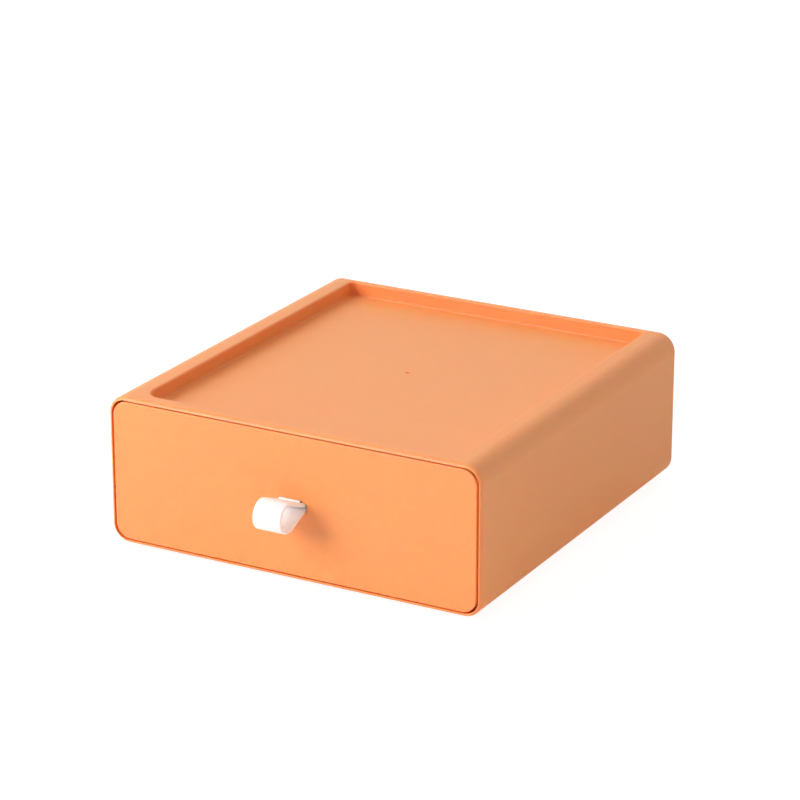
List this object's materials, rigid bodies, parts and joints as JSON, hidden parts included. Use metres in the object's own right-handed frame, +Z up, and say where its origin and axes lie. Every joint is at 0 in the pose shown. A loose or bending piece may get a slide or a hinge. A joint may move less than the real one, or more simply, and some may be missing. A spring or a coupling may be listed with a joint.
{
  "type": "stackable drawer box",
  "caption": "Low stackable box with a tray in its top and one sliding drawer opened by a soft loop pull.",
  "frame": {"origin": "centre of the case's footprint, on the plane of the four pads that it stands on", "axes": "+X to the right seen from the front, -Y out of the front where the drawer opens, +Z up"},
  "size_m": [0.24, 0.2796, 0.0925],
  "materials": {
    "case": "satin moulded polypropylene, orange",
    "drawer": "satin moulded polypropylene, orange",
    "strap": "soft white strap, satin",
    "retainer": "white moulded plastic, satin",
    "pad": "pale translucent rubber, matte"
  },
  "bodies": {
    "case": {"outer_case": "case", "foot_pad_front_left": "pad", "foot_pad_front_right": "pad", "foot_pad_back_left": "pad", "foot_pad_back_right": "pad"},
    "sliding_drawer": {"drawer": "drawer", "pull_strap": "strap", "strap_retainer": "retainer"}
  },
  "joints": [
    {"name": "drawer_slide", "type": "slide", "parent": "case", "child": "sliding_drawer", "axis": [0, -1, 0], "range_m": [0, 0.19]}
  ]
}
